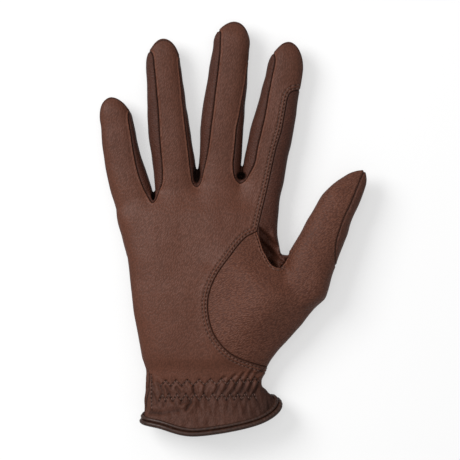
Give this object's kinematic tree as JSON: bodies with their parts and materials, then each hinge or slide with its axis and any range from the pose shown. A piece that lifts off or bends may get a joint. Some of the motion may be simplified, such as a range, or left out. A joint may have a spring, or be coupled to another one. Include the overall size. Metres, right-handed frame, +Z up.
{
  "type": "riding glove",
  "caption": "Right-hand leather riding glove lying palm up, open and hollow, with finger side strips, a set-in thumb, an elastic-gathered wrist and a piped cuff edge.",
  "frame": {"origin": "middle of the glove's underside, on the surface it lies on", "axes": "+Y from the cuff to the fingertips, +X to the thumb's side, +Z up out of the palm"},
  "size_m": [0.1418, 0.2204, 0.0283],
  "materials": {
    "palm_leather": "semi-matt brown with a fine raised grain",
    "back_leather": "semi-matt brown with a fine raised grain",
    "strip_leather": "matt brown with a fine raised grain",
    "piping_leather": "smooth dark brown with a soft shine",
    "thread": "matt dark brown sewing thread"
  },
  "bodies": {
    "root": {"palm": "palm_leather", "back": "back_leather", "fourchette_little_ring": "strip_leather", "fourchette_ring_middle": "strip_leather", "fourchette_middle_index": "strip_leather", "index_side": "strip_leather", "thumb_front": "palm_leather", "thumb_back": "back_leather", "cuff_binding": "piping_leather"}
  },
  "joints": []
}
